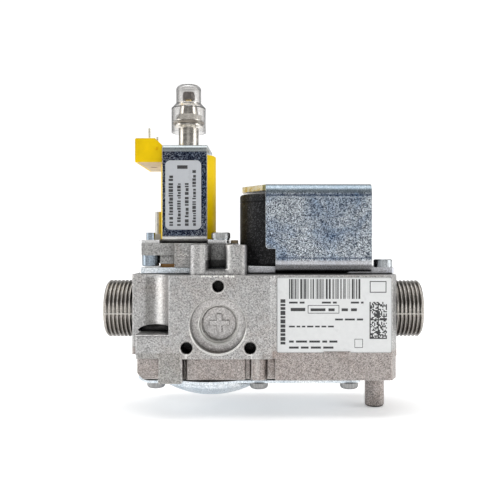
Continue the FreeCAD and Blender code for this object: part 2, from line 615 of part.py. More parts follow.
def mounting_screws():
    return Part.makeCompound([screw_down(x, y, 3.2, 2.4, 1.6, 9.0, PLATE_TOP) for x, y in MOUNT_SCREWS])


def regulator_gasket():
    sheet = slab((25.4, 57.0), (-10.5, 19.5), (REG_BOTTOM, REG_BOTTOM + REG_GASKET), 2.0)
    return sheet.cut(rod_z(MOD_X, MOD_Y, 7.4, (REG_BOTTOM - 1, REG_BOTTOM + REG_GASKET + 1)))


def regulator_diaphragm():
    """Small dish whose middle the push rod presses towards the nozzle."""
    rim, low, t = REG_BOTTOM + REG_GASKET, REG_BOTTOM + 0.3, 0.5
    return turned_z(MOD_X, MOD_Y, [(1.6, low), (5.4, low), (6.6, rim - t), (7.4, rim - t), (7.4, rim),
                                   (6.4, rim), (5.2, low + t), (1.6, low + t)])


def regulator_housing():
    low, joint = REG_BOTTOM + REG_GASKET, REG_FLANGE_Z
    lower = [(25.6, -11.2), (31.6, -11.2), (32.8, -15.6), (57.4, -15.6), (57.4, -12.0), (57.0, -12.0),
             (57.0, 19.5), (22.0, 19.5), (22.0, 2.0), (25.6, 2.0)]
    upper = [(17.6, -14.2), (27.4, -14.2), (31.9, -12.6), (32.8, -15.6), (57.4, -15.6), (57.4, -3.4),
             (60.6, -3.4), (60.6, 3.4), (57.4, 3.4), (57.4, 20.5), (17.6, 20.5)]
    base = prism_z(lower, (low, joint + 1))
    skirt = [(32.8, -15.6), (57.4, -15.6), (57.4, -11.0), (33.6, -11.0)]
    skirt = prism_z(skirt, (REG_BOTTOM + 0.1, joint + 1))
    flange = rounded(prism_z(upper, (joint, REG_TOP)), 0.5, upright)
    chamber = rod_z(MOD_X, MOD_Y, 8.4, (low - 1, 26.6))
    holes = [rod_z(MOD_X, MOD_Y, 1.5, (low, REG_TOP + 1)),
             rod_z(MOD_X, MOD_Y, 7.0, (REG_TOP - 2.2, REG_TOP + 1))]
    holes += [rod_z(LEFT_SCREW[0], LEFT_SCREW[1], 2.0, (joint - 1, REG_TOP + 1)),
              rod_z(RIGHT_SCREW[0], RIGHT_SCREW[1], 1.9, (low + 1, REG_TOP + 1)),
              rod_z(NIPPLE[0], NIPPLE[1], 1.6, (joint + 1, REG_TOP + 1)),
              rod_z(PLUG[0], PLUG[1], 1.1, (REG_TOP - 2.5, REG_TOP + 1))]
    return fuse([base, skirt, flange]).cut([chamber, *holes])


LEFT_SCREW = (21.1, -9.8)
RIGHT_SCREW = (53.0, -9.6)
NIPPLE = (21.2, 12.0)
PLUG = (58.8, 0.0)


def left_clamp_screw():
    """Cheese-head screw put in from under the flange; its tip shows above the bracket."""
    x, y = LEFT_SCREW
    head = rounded_rim(rod_z(x, y, 3.9, (REG_FLANGE_Z - 4.9, REG_FLANGE_Z)), REG_FLANGE_Z - 4.9, 0.5)
    return fuse([head, rod_z(x, y, 1.95, (REG_FLANGE_Z, 35.2))])


def right_clamp_screw():
    x, y = RIGHT_SCREW
    return screw_down(x, y, 4.3, 2.7, 1.85, 8.0, LEG_TOP + 0.7)


def right_washer():
    x, y = RIGHT_SCREW
    return tube_z(x, y, 4.0, 1.85, (LEG_TOP, LEG_TOP + 0.7))


def reference_nipple():
    """Brass tube with a hexagonal foot that vents the regulator."""
    x, y = NIPPLE
    foot_top = LEG_TOP + 3.0
    root = Part.makeCone(2.2, 1.6, 0.5, V(x, y, foot_top))
    stem = rod_z(x, y, 1.6, (REG_FLANGE_Z + 1.5, 45.7))
    shape = fuse([stem, hexagon_z(x, y, 5.0, (LEG_TOP, foot_top)), root])
    return shape.cut(rod_z(x, y, 0.8, (REG_FLANGE_Z, 46.0)))


def vent_plug():
    """Small plastic plug with a breathing hole."""
    plug = fuse([rod_z(*PLUG, 1.1, (REG_TOP - 2.5, REG_TOP)), rod_z(*PLUG, 1.7, (REG_TOP, REG_TOP + 1.5))])
    return rounded_rim(plug, REG_TOP + 1.5, 0.4).cut(rod_z(*PLUG, 0.4, (REG_TOP - 3, REG_TOP + 2)))


def regulator_nozzle():
    return turned_z(MOD_X, MOD_Y, [(0.8, 13.4), (2.6, 13.4), (2.6, 17.8), (1.3, 19.7), (0.8, 19.7)])


# ---- modulator ----------------------------------------------------------------------------------
def modulator_bracket():
    """Zinc-plated C whose bottom leg widens into two fixing ears."""
    c = c_section(BRACKET_X, BRACKET_Y[0], BRACKET_Y[1], (REG_TOP, BRACKET_TOP), SHEET, BRACKET_R)
    ears = slab((16.3, 56.4), (BRACKET_Y[0] + BRACKET_R - 6.0, BRACKET_Y[1] - 1), (REG_TOP, LEG_TOP), 2.0)
    ears = ears.cut(box((BRACKET_X[0] - 0.8, BRACKET_X[1] + 0.8), (-20, BRACKET_Y[0] + BRACKET_R), (20, 40)))
    top = [rod_z(MOD_X, MOD_Y, 4.75, (60, 80)), rod_z(MOD_X, MOD_Y, 4.75, (20, 40))]
    holes = [rod_z(LEFT_SCREW[0], LEFT_SCREW[1], 2.0, (20, 40)),
             rod_z(RIGHT_SCREW[0], RIGHT_SCREW[1], 1.9, (20, 40)),
             rod_z(NIPPLE[0], NIPPLE[1], 1.65, (20, 40))]
    return fuse([c, ears]).cut([*top, *holes])


COIL_Z = (LEG_TOP + 0.3, 71.6)
COIL_R = 13.0


def modulator_coil():
    coil = rounded_rim(rounded_rim(rod_z(MOD_X, MOD_Y, COIL_R, COIL_Z), COIL_Z[0], 0.6), COIL_Z[1], 0.6)
    return coil.cut([rod_z(MOD_X, MOD_Y, 4.8, (20, 80)), modulator_winding()])


def modulator_winding():
    return tube_z(MOD_X, MOD_Y, 11.4, 6.2, (COIL_Z[0] + 3.5, COIL_Z[1] - 3.5))


TERMINAL_X = (13.6, 26.0)
TERMINAL_Y = (-8.0, 32.0)
TERMINAL_Z = (67.6, 78.5)
PINS = ((19.6, -4.6), (19.3, 20.0))


def terminal_outline(inset, y, z_low):
    x0, x1 = TERMINAL_X[0] + inset, TERMINAL_X[1] - inset
    top = TERMINAL_Z[1] - inset
    corners = [(x0, z_low), (x1, z_low), (x1, top - 3.2), (x1 - 3.2, top), (x0, top)]
    points = [V(x, y[0], z) for x, z in corners]
    return Part.Face(Part.makePolygon(points + points[:1])).extrude(V(0, y[1] - y[0], 0))


def terminal_housing():
    """Yellow hood beside the coil; its open underside takes the terminal insert."""
    hood = terminal_outline(0.0, TERMINAL_Y, TERMINAL_Z[0])
    hood = rounded(hood, 0.7, lambda e: lies_in(e, "x", TERMINAL_X[0]) and lies_in(e, "z", TERMINAL_Z[1]))
    well = terminal_outline(0.9, (TERMINAL_Y[0] + 0.9, TERMINAL_Y[1] - 0.9), TERMINAL_Z[0] - 1)
    well = well.common(box((0, 30), (-20, 50), (60, TERMINAL_Z[0] + 2.4)))
    dimple = rod_y(23.6, 73.6, 0.7, (TERMINAL_Y[0] - 1, TERMINAL_Y[0] + 0.6))
    holes = [rod_z(x, y, 0.55, (60, 80)) for x, y in PINS]
    return hood.cut([well, dimple, *holes, rod_z(MOD_X, MOD_Y, COIL_R, (60, 80))])


def terminal_insert():
    body = terminal_outline(0.9, (TERMINAL_Y[0] + 0.9, TERMINAL_Y[1] - 0.9), TERMINAL_Z[0])
    body = body.common(box((0, 30), (-20, 50), (60, TERMINAL_Z[0] + 2.4)))
    slot = box((17.3, 20.5), (12.2, 13.8), (60, TERMINAL_Z[0] + 1.4))
    pin_holes = [rod_z(x, y, 0.55, (60, 80)) for x, y in PINS]
    return body.cut([slot, rod_z(MOD_X, MOD_Y, COIL_R, (60, 80)), *pin_holes])


def terminal_pins():
    z = (TERMINAL_Z[0] + 0.5, 83.6)
    return Part.makeCompound([rounded_rim(rod_z(x, y, 0.55, z), z[1], 0.3) for x, y in PINS])


STEM_R, STEM_TOP = 4.72, 85.0
STEM_BORE = 3.6
NUT_BOTTOM = 85.9
SPIGOT_BOTTOM = 79.0
SEAT_FACE = 77.5  # top of the spring seat, where the minimum screw presses on it


def modulator_guide_tube():
    """Nickel-plated tube through the coil; a flange under the bracket holds it down."""
    tube = rod_z(MOD_X, MOD_Y, STEM_R, (REG_TOP, STEM_TOP))
    flange = rod_z(MOD_X, MOD_Y, 7.0, (REG_TOP - 2.0, REG_TOP))
    return fuse([tube, flange]).cut([rod_z(MOD_X, MOD_Y, STEM_BORE, (REG_TOP - 1.0, STEM_TOP + 1)),
                                     rod_z(MOD_X, MOD_Y, 1.5, (REG_TOP - 3, REG_TOP))])


def maximum_nut():
    """Large adjusting nut: its spigot screws into the stem and its groove carries the cap's sealing ring."""
    z = NUT_BOTTOM
    turned = turned_z(MOD_X, MOD_Y, [
        (0.0, SPIGOT_BOTTOM), (3.52, SPIGOT_BOTTOM), (3.52, z), (6.6, z), (6.6, z + 0.8), (5.85, z + 0.8),
        (5.85, z + 2.4), (6.6, z + 2.4), (6.6, z + 2.8), (4.6, z + 2.8), (4.6, z + 5.4), (4.0, z + 9.6),
        (4.75, z + 10.2), (4.75, z + 11.0), (0.0, z + 11.0)])
    hexagon = hexagon_z(MOD_X, MOD_Y, 10.6, (z + 2.8, z + 5.4))
    return fuse([turned, hexagon]).cut(rod_z(MOD_X, MOD_Y, 1.55, (SPIGOT_BOTTOM - 1, z + 12)))


def cap_seal_ring():
    return ring_z(MOD_X, MOD_Y, 6.6, 0.7, NUT_BOTTOM + 1.6)


def minimum_screw():
    """Brass spindle with a small hexagonal head, turned for the lowest pressure."""
    return rod_z(MOD_X, MOD_Y, 1.45, (SEAT_FACE, 98.6))


def minimum_screw_head():
    head = hexagon_z(MOD_X, MOD_Y, 5.0, (98.6, 102.2))
    return head.cut(box((MOD_X - 4, MOD_X + 4), (MOD_Y - 0.4, MOD_Y + 0.4), (101.2, 103)))


def spring_seat():
    return rounded_rim(rod_z(MOD_X, MOD_Y, 3.4, (SEAT_FACE - 0.9, SEAT_FACE)), SEAT_FACE, 0.3)


def modulator_plunger():
    return rounded_rim(rod_z(MOD_X, MOD_Y, STEM_BORE - 0.06, (44.0, 66.0)), 66.0, 0.4)


def push_rod():
    """Rod from the plunger to the plate on the regulator diaphragm."""
    low = REG_BOTTOM + 0.8
    rod = rod_z(MOD_X, MOD_Y, 1.4, (low, 44.0))
    return fuse([rod, rod_z(MOD_X, MOD_Y, 1.6, (low - 0.5, low)), rod_z(MOD_X, MOD_Y, 4.8, (low, low + 0.8))])


def modulator_spring():
    return coil_spring(MOD_X, MOD_Y, 2.6, 0.35, (66.0, SEAT_FACE - 0.9), 6)


def clear_cap():
    """Transparent stepped cap over the two adjusters."""
    def outline(wall):
        low, shoulder, neck, top = 83.1, 94.6 - wall * 0.4, 97.0 - wall * 0.4, 105.6 - wall
        wide, slim, soft = 8.15 - wall, 5.95 - wall, 2.4 - wall * 0.6
        s = soft * (1 - math.sqrt(0.5))
        return [((0.0, low), (wide, low)), ((wide, low), (wide, shoulder)), ((wide, shoulder), (slim, neck)),
                ((slim, neck), (slim, top - soft)),
                ((slim, top - soft), (slim - s, top - s), (slim - soft, top)),
                ((slim - soft, top), (0.0, top)), ((0.0, top), (0.0, low))]
    return arc_turned(MOD_X, MOD_Y, outline(0.0)).cut(arc_turned(MOD_X, MOD_Y, outline(0.8)))


# ---- pressure tap, labels -----------------------------------------------------------------------
def tap_screw():
    screw = rounded_rim(rod_z(TAP_X, TAP_Y, 2.54, (TAP_END + 1.4, TAP_END + 7.0)), TAP_END + 1.4, 0.4)
    return screw.cut(box((TAP_X - 3, TAP_X + 3), (TAP_Y - 0.5, TAP_Y + 0.5), (TAP_END, TAP_END + 2.8)))


def tap_screw_tip():
    """Conical point that closes the small way through the inlet tap."""
    low = TAP_END + 7.0
    return turned_z(TAP_X, TAP_Y, [(0.0, low), (2.3, low), (0.9, low + 1.8), (0.0, low + 1.8)])


def rating_label():
    label = box((78.2, 127.9), (LABEL_FACE - 0.15, LABEL_FACE), (-17.0, 15.6))
    label = rounded(label, 1.0, lambda e: abs(e.Vertexes[0].Point.y - e.Vertexes[-1].Point.y) > 0.1)
    return label.cut(box((98.4, 110.1), (LABEL_FACE - 2, LABEL_FACE + 1), (-19.4, -16.4)))


def bracket_label():
    label = box((27.8, 44.1), (BRACKET_Y[0] - 0.12, BRACKET_Y[0]), (36.6, 68.1))
    return rounded(label, 2.2, lambda e: abs(e.Vertexes[0].Point.y - e.Vertexes[-1].Point.y) > 0.1)


NODES = {
    "valve_body": valve_body,
    "bottom_cover": bottom_cover,
    "cover_gasket": cover_gasket,
    "main_diaphragm": main_diaphragm,
    "bottom_cover_screws": cover_screws,
    "main_seat_ring": main_seat_ring,
    "main_stem_guide": main_stem_guide,
    "main_valve_stem": main_valve_stem,
    "main_valve_disc": main_valve_disc,
    "main_disc_backing": main_disc_backing,
    "main_diaphragm_plate": main_diaphragm_plate,
    "main_valve_spring": main_valve_spring,
    "first_guide_tube": lambda: guide_tube(FIRST_X, 13.5),
    "servo_guide_tube": lambda: guide_tube(SERVO_X, 10.5),
    "solenoid_cores": fixed_cores,
    "first_valve_plunger": first_valve_plunger,
    "first_valve_holder": first_valve_holder,
    "first_valve_disc": first_valve_disc,
    "first_valve_spring": first_valve_spring,
    "servo_plunger": servo_plunger,
    "servo_pad": servo_pad,
    "servo_spring": servo_spring,
    "solenoid_windings": solenoid_windings,
    "coil_housing": coil_housing,
    "coil_terminals": spade_terminals,
    "yoke_frame": yoke_frame,
    "yoke_screws": yoke_screws,
    "top_gasket": top_gasket,
    "inlet_strainer": inlet_strainer,
    "mounting_plate": mounting_plate,
    "mounting_screws": mounting_screws,
    "regulator_gasket": regulator_gasket,
    "regulator_diaphragm": regulator_diaphragm,
    "regulator_housing": regulator_housing,
    "regulator_nozzle": regulator_nozzle,
    "vent_plug": vent_plug,
    "left_clamp_screw": left_clamp_screw,
    "right_clamp_screw": right_clamp_screw,
    "right_washer": right_washer,
    "reference_nipple": reference_nipple,
    "modulator_bracket": modulator_bracket,
    "modulator_coil": modulator_coil,
    "modulator_winding": modulator_winding,
    "terminal_housing": terminal_housing,
    "terminal_insert": terminal_insert,
    "terminal_pins": terminal_pins,
    "modulator_guide_tube": modulator_guide_tube,
    "maximum_nut": maximum_nut,
    "cap_seal_ring": cap_seal_ring,
    "minimum_screw": minimum_screw,
    "minimum_screw_head": minimum_screw_head,
    "spring_seat": spring_seat,
    "modulator_plunger": modulator_plunger,
    "push_rod": push_rod,
    "modulator_spring": modulator_spring,
    "clear_cap": clear_cap,
    "tap_screw": tap_screw,
    "tap_screw_tip": tap_screw_tip,
    "rating_label": rating_label,
    "bracket_label": bracket_label,
}


def main():
    os.makedirs("parts", exist_ok=True)
    for name, make in NODES.items():
        shape = make()
        solids = shape.Solids
        bad = [s for s in solids if not s.isValid() or s.Volume <= 0]
        state = "BAD" if bad or not solids else "ok"
        print(f"{name:24s} solids {len(solids):3d}  volume {shape.Volume:10.1f}  {state}")
        Part.makeCompound(solids).exportStep(f"parts/{name}.step")


main()
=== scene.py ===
"""Looks for the boiler gas valve: a material for each node, printed labels, small marks and the studio."""

import json
import math
import random

import bmesh
import bpy
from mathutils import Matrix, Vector


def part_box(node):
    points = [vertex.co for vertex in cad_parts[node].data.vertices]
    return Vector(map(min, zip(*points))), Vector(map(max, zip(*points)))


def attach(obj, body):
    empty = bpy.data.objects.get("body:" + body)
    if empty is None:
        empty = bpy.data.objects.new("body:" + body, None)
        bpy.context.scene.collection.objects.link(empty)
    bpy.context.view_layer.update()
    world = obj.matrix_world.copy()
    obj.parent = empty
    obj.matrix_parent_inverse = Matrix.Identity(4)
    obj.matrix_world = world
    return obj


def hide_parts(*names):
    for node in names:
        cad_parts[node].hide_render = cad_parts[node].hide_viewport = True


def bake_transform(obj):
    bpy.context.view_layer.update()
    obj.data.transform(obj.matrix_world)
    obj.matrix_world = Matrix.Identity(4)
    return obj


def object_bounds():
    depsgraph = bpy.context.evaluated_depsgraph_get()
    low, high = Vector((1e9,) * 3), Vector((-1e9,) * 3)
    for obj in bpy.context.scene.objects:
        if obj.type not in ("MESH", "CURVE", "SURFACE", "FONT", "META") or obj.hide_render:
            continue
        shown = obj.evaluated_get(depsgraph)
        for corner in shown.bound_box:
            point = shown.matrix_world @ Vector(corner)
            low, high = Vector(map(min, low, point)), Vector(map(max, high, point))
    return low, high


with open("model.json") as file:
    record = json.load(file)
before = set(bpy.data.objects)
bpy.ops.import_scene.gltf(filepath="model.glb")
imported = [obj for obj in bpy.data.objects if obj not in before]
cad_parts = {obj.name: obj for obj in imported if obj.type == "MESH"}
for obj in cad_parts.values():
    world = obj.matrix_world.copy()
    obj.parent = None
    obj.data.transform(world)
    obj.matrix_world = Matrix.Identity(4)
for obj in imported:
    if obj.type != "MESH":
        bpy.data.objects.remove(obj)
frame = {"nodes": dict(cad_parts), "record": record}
CAD_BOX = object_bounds()
MM = 0.001
rng = random.Random(7)


# ---- materials -----------------------------------------------------------------------------------
class Shader:
    """A Principled material whose textures read object coordinates: the row frame, in metres."""

    def __init__(self, name, color, metallic=0.0, roughness=0.5, **sockets):
        self.material = bpy.data.materials.new(name)
        self.material.use_nodes = True
        self.nodes = self.material.node_tree.nodes
        self.links = self.material.node_tree.links
        self.bsdf = self.nodes["Principled BSDF"]
        self.bsdf.inputs["Base Color"].default_value = (*color, 1.0)
        self.bsdf.inputs["Metallic"].default_value = metallic
        self.bsdf.inputs["Roughness"].default_value = roughness
        for socket, value in sockets.items():
            self.bsdf.inputs[socket.replace("_", " ")].default_value = value
        self.coord = self.nodes.new("ShaderNodeTexCoord").outputs["Object"]

    def stretched(self, scale):
        node = self.nodes.new("ShaderNodeMapping")
        node.inputs["Scale"].default_value = scale
        self.links.new(self.coord, node.inputs["Vector"])
        return node.outputs["Vector"]

    def noise(self, scale, detail=3.0, rough=0.55, vector=None, distortion=0.0):
        node = self.nodes.new("ShaderNodeTexNoise")
        node.inputs["Scale"].default_value = scale
        node.inputs["Detail"].default_value = detail
        node.inputs["Roughness"].default_value = rough
        node.inputs["Distortion"].default_value = distortion
        self.links.new(vector or self.coord, node.inputs["Vector"])
        return node.outputs["Fac"]

    def cells(self, scale, output="Color", vector=None):
        node = self.nodes.new("ShaderNodeTexVoronoi")
        node.inputs["Scale"].default_value = scale
        self.links.new(vector or self.coord, node.inputs["Vector"])
        return node.outputs[output]

    def ramp(self, fac, *stops):
        node = self.nodes.new("ShaderNodeValToRGB")
        elements = node.color_ramp.elements
        while len(elements) < len(stops):
            elements.new(0.5)
        for element, (at, color) in zip(elements, stops):
            element.position = at
            element.color = (*color, 1.0) if len(color) == 3 else color
        self.links.new(fac, node.inputs["Fac"])
        return node.outputs["Color"]

    def grey(self, fac, low, high, a=0.3, b=0.7):
        return self.ramp(fac, (a, (low,) * 3), (b, (high,) * 3))

    def mix(self, a, b, fac=0.5, mode="MIX"):
        node = self.nodes.new("ShaderNodeMix")
        node.data_type = "RGBA"
        node.blend_type = mode
        for socket, value in ((node.inputs["Factor"], fac), (node.inputs["A"], a), (node.inputs["B"], b)):
            self.feed(socket, value)
        return node.outputs["Result"]

    def math(self, op, a, b=0.0):
        node = self.nodes.new("ShaderNodeMath")
        node.operation = op
        self.feed(node.inputs[0], a)
        self.feed(node.inputs[1], b)
        return node.outputs[0]

    def feed(self, socket, value):
        if isinstance(value, bpy.types.NodeSocket):
            self.links.new(value, socket)
        elif socket.type == "RGBA":
            socket.default_value = (*value, 1.0)
        else:
            socket.default_value = value

    def axis(self, letter):
        node = self.nodes.new("ShaderNodeSeparateXYZ")
        self.links.new(self.coord, node.inputs["Vector"])
        return node.outputs[letter]

    def rounded(self, radius):
        """The surface's direction with its edges rounded off."""
        node = self.nodes.new("ShaderNodeBevel")
        node.samples = 4
        node.inputs["Radius"].default_value = radius
        return node.outputs["Normal"]

    def edges(self, radius):
        """1 on outer and inner edges, 0 on open faces."""
        geometry = self.nodes.new("ShaderNodeNewGeometry")
        dot = self.nodes.new("ShaderNodeVectorMath")
        dot.operation = "DOT_PRODUCT"
        self.links.new(self.rounded(radius), dot.inputs[0])
        self.links.new(geometry.outputs["Normal"], dot.inputs[1])
        return self.ramp(dot.outputs["Value"], (0.75, (1, 1, 1)), (0.985, (0, 0, 0)))

    def between(self, value, low, high, soft):
        """1 where the value lies between low and high, 0 outside, with soft ends."""
        rise = self.math("DIVIDE", self.math("SUBTRACT", value, low), soft)
        fall = self.math("DIVIDE", self.math("SUBTRACT", high, value), soft)
        both = self.math("MINIMUM", rise, fall)
        both.node.use_clamp = True
        return both

    def band(self, letter, low, high, soft=0.0006):
        """1 where the coordinate lies between low and high, in metres, with soft ends."""
        return self.between(self.axis(letter), low, high, soft)

    def around(self, x, z, inner, outer, y_max, soft=0.00025):
        """1 on the part of the front that lies between two radii round (x, z), with soft ends, in metres."""
        flat = self.math("POWER", self.math("SUBTRACT", self.axis("X"), x), 2.0)
        tall = self.math("POWER", self.math("SUBTRACT", self.axis("Z"), z), 2.0)
        reach = self.math("SQRT", self.math("ADD", flat, tall))
        ring = self.between(reach, inner, outer, soft)
        return self.math("MULTIPLY", ring, self.band("Y", -0.05, y_max))

    def openness(self, distance):
        """1 where nothing lies within the distance in front of the surface, less in corners and holes."""
        node = self.nodes.new("ShaderNodeAmbientOcclusion")
        node.samples = 4
        node.inputs["Distance"].default_value = distance
        return node.outputs["AO"]

    def painted_shade(self, distance, dark):
        """Painted shade: falls from 1 on open faces to dark in corners and nearly black in deep holes."""
        return self.ramp(self.openness(distance), (0.06, (0.02,) * 3), (0.28, (dark,) * 3), (0.7, (1, 1, 1)))

    def shade(self, distance):
        """Painted shade: darkens only the bottoms of deep gaps."""
        return self.ramp(self.openness(distance), (0.1, (0.03,) * 3), (0.5, (1, 1, 1)))

    def set(self, socket, value):
        self.feed(self.bsdf.inputs[socket], value)
        return self

    def bump(self, height, strength, distance, soft=None):
        node = self.nodes.new("ShaderNodeBump")
        node.inputs["Strength"].default_value = strength
        node.inputs["Distance"].default_value = distance
        self.links.new(height, node.inputs["Height"])
        if soft:
            self.links.new(self.rounded(soft), node.inputs["Normal"])
        self.links.new(node.outputs["Normal"], self.bsdf.inputs["Normal"])
        return self


def rims_and_painted_highlights(s, color):
    """Paler machined chamfers of the front holes and recess steps, with a painted highlight on their lower
    side and less metallic there; the recess floor is made paler with pitted metal as painted light.
    """
    # painted light: the recess floor and inner disc are made paler
    floor = s.around(BLANK[0] * MM, BLANK[1] * MM, -0.001, 0.0119, -0.008)
    pitted = s.mix([0.30, 0.27, 0.26], [1.0, 0.97, 0.95], s.grey(s.noise(1300, 3, 0.75), 0, 1, 0.36, 0.6))
    color = s.mix(color, pitted, s.math("MULTIPLY", floor, 0.42))
    highlight_area = None
    for x, z, inner, outer, back, fac in RIMS:
        ring = s.around(x, z, inner, outer, back)
        below = s.band("Z", z - 0.03, z - 0.0005, 0.003)
        color = s.mix(color, [0.62, 0.61, 0.58], s.math("MULTIPLY", ring, fac * 0.7))
        # painted highlight on the lower side of each rim
        painted_highlight = s.math("MULTIPLY", s.math("MULTIPLY", ring, below), fac)
        color = s.mix(color, [1.0, 0.99, 0.95], painted_highlight)
        highlight_area = s.math("MAXIMUM", highlight_area, painted_highlight) if highlight_area else painted_highlight
    # less metallic where the painted highlight is
    s.set("Metallic", s.math("SUBTRACT", 1.0, s.math("MULTIPLY", highlight_area, 0.7)))
    return color


def painted_light_strips(s, color):
    """Painted light and shade: upright paler and darker strips in the scoop, on the skirt and on the posts.
    """
    for x0, x1, soft, z0, z1, y0, y1, tone, mode, share in STRIPS:
        place = s.math("MULTIPLY", s.band("X", x0, x1, soft), s.band("Z", z0, z1, 0.0007))
        place = s.math("MULTIPLY", place, s.band("Y", y0, y1, 0.0004))
        color = s.mix(color, [tone, tone * 0.985, tone * 0.95], s.math("MULTIPLY", place, share), mode)
    return color


def cast_metal(name, tone, threads=False):
    """Blasted aluminium die casting: fine grain, pits, warm stains, painted shade in corners, holes and the
    gap between the posts, pale edges that are part wear and part painted highlight.
    """
    s = Shader(name, tone, metallic=1.0, roughness=0.42)
    grain, chips, pits = s.noise(3000, 3, 0.8), s.cells(2300), s.noise(1300, 2, 0.6)
    cloud = s.noise(55, 4, 0.65, distortion=0.8)
    speck = s.mix(s.grey(grain, 0, 1, 0.36, 0.64), s.grey(chips, 0, 1, 0.15, 0.85), 0.5)
    color = s.mix([c * 0.24 for c in tone], [c * 1.76 for c in tone], speck)
    color = s.mix(color, [0.93, 0.86, 0.82], s.grey(cloud, 0, 0.7, 0.48, 0.72), "MULTIPLY")
    rough = s.grey(s.noise(700, 3), 0.34, 0.52)
    if threads:
        low_x, high_x = CAD_BOX[0][0], CAD_BOX[1][0]
        cut = s.math("MAXIMUM", s.band("X", low_x - 0.01, low_x + PORT_LEN),
                     s.band("X", high_x - PORT_LEN, high_x + 0.01))
        skirt = s.math("MULTIPLY", s.band("Z", -0.05, -0.0155, 0.0012), s.band("Y", -0.0262, 0.05, 0.0004))
        color = s.mix(color, [0.86, 0.79, 0.76], skirt, "MULTIPLY")
        turned = s.grey(s.noise(1500, 3, 0.6, s.stretched((3, 1, 1))), 0, 1, 0.3, 0.7)
        color = s.mix(color, s.mix([0.20, 0.18, 0.16], [0.66, 0.62, 0.57], turned), cut)
        # painted shade on the lower side of each port's thread
        shaded_underside = s.band("Z", -0.03, -0.003, 0.006)
        color = s.mix(color, [0.55, 0.53, 0.52], s.math("MULTIPLY", cut, shaded_underside), "MULTIPLY")
        rough = s.mix(rough, (0.32, 0.32, 0.32), cut)
        # painted light and shade strips
        color = painted_light_strips(s, color)
    # pale edges: part worn metal, part painted highlight
    color = s.mix(color, [0.96, 0.95, 0.91], s.math("MULTIPLY", s.edges(0.0004), 0.75))
    # painted shade at the bottoms of deep gaps
    color = s.mix(color, s.shade(0.018), 1.0, "MULTIPLY")
    # painted shade in the gap between the two front posts, darkest low down
    window = s.math("MULTIPLY", s.band("X", *WINDOW_X, 0.0003), s.band("Y", *WINDOW_Y, 0.0003))
    for heights, shade_tone in ((WINDOW_LOW, 0.16), (WINDOW_HIGH, 0.5)):
        place = s.math("MULTIPLY", window, s.band("Z", *heights))
        color = s.mix(color, [shade_tone] * 3, place, "MULTIPLY")
    # painted shade in corners and holes
    color = s.mix(color, s.painted_shade(0.003, 0.6), 1.0, "MULTIPLY")
    s.set("Base Color", rims_and_painted_highlights(s, color) if threads else color)
    s.set("Roughness", rough)
    return s.bump(s.mix(pits, grain, 0.5), 0.8, 0.00007, soft=0.0004)


def zinc_sheet(name, dark, light, rough=(0.2, 0.42), fleck=1500, bands=(), share=(0.3, 0.7),
               stain=(0.42, 0.54, 0.74), corner=0.0, left=0.0):
    """Zinc plate with spangle. Bands are height ranges with a tone of their own: painted light and painted
    shade along the bends.

    The yoke's top front edge has a painted gold and white highlight up to X = corner, and a bracket is pale
    beside its left edge.
    """
    s = Shader(name, light, metallic=1.0, roughness=0.34)
    flecks, fine = s.cells(fleck), s.noise(4600, 2, 0.8)
    cloud = s.noise(60, 4, 0.65, distortion=0.6)
    sparkle = s.mix(s.grey(flecks, 0, 1, 0.15, 0.85), s.grey(fine, 0, 1, 0.34, 0.66), 0.55)
    color = s.mix(dark, light, s.grey(sparkle, 0, 1, *share))
    color = s.mix(color, stain, s.grey(cloud, 0, 1, 0.4, 0.68), "MULTIPLY")
    # painted light and shade in bands along the bends
    for low, high, soft, pale in bands:
        color = s.mix(color, pale, s.math("MULTIPLY", s.band("Z", low, high, soft), 0.7))
    if left:
        beside = s.math("MULTIPLY", s.band("X", 0.0, left + 0.0012, 0.0005), 0.8)
        color = s.mix(color, [0.9, 0.93, 0.93], beside)
    # pale sheet edges: part bare edge, part painted highlight
    color = s.mix(color, [0.95, 0.97, 0.97], s.math("MULTIPLY", s.edges(0.0004), 0.85))
    if corner:
        # painted highlight: gold and white along the yoke's top front edge, less metallic there
        under_top = s.band("Z", YOKE_TOP - 0.003, YOKE_TOP - 0.0001, 0.0001)
        gold = s.math("MULTIPLY", s.band("X", 0.0, corner), under_top)
        patchy = s.grey(s.noise(420, 3), 0, 1, 0.46, 0.6)
        color = s.mix(color, s.mix([1.0, 1.0, 0.97], [0.85, 0.72, 0.36], patchy), gold)
        s.set("Metallic", s.math("SUBTRACT", 1.0, s.math("MULTIPLY", gold, 0.75)))
    # painted shade in corners and holes
    s.set("Base Color", s.mix(color, s.painted_shade(0.004, 0.45), 1.0, "MULTIPLY"))
    s.set("Roughness", s.grey(fine, *rough))
    return s.bump(s.mix(fine, flecks, 0.5), 0.7, 0.00008, soft=0.00025)


def turned_metal(name, tone, roughness=0.2, rings=5200, knurl=0.0):
    """Turned or plated metal; knurl adds upright ribs and more depth to them."""
    s = Shader(name, tone, metallic=1.0, roughness=roughness)
    lines = s.noise(rings, 2, 0.6, s.stretched((0.12, 0.12, 1.0)))
    spots = s.noise(420, 4, 0.6)
    color = s.mix([c * 0.8 for c in tone], tone, s.grey(spots, 0, 1, 0.35, 0.6))
    height, depth = lines, 0.00006
    if knurl:
        ribs = s.noise(1500, 1, 0.5, s.stretched((1.0, 1.0, 0.06)))
        # painted shade: darker in the grooves between the ribs
        color = s.mix([c * 0.45 for c in tone], color, s.grey(ribs, 1 - knurl, 1, 0.4, 0.6))
        height, depth = s.mix(lines, ribs, 0.7), 0.0003
    s.set("Base Color", color)
    s.set("Roughness", s.grey(spots, roughness * 0.7, roughness * 1.6))
    return s.bump(height, 0.4 if knurl else 0.25, depth, soft=0.00015)


